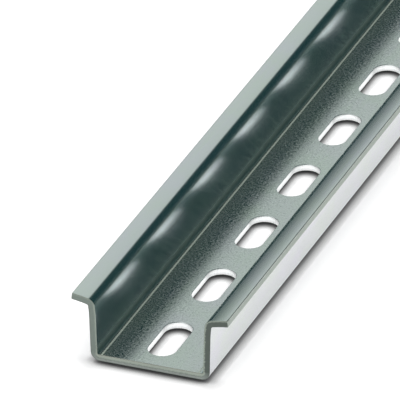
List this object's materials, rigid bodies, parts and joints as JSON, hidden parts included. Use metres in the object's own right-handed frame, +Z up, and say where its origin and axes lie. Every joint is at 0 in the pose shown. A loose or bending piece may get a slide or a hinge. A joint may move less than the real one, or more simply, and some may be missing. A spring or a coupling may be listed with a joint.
{
  "type": "din rail",
  "caption": "Deep top-hat mounting rail for clip-on devices: a bent steel channel with two outward lips and a row of slots along its web.",
  "frame": {"origin": "middle of the underside of the web, half way along the length", "axes": "+Z up out of the channel's open side, +Y along the rail away from the near cut end, +X across to the right lip"},
  "size_m": [0.035, 1, 0.015],
  "materials": {
    "rail_zinc": "zinc plated, thick clear passivation"
  },
  "bodies": {
    "root": {"rail": "rail_zinc"}
  },
  "joints": []
}
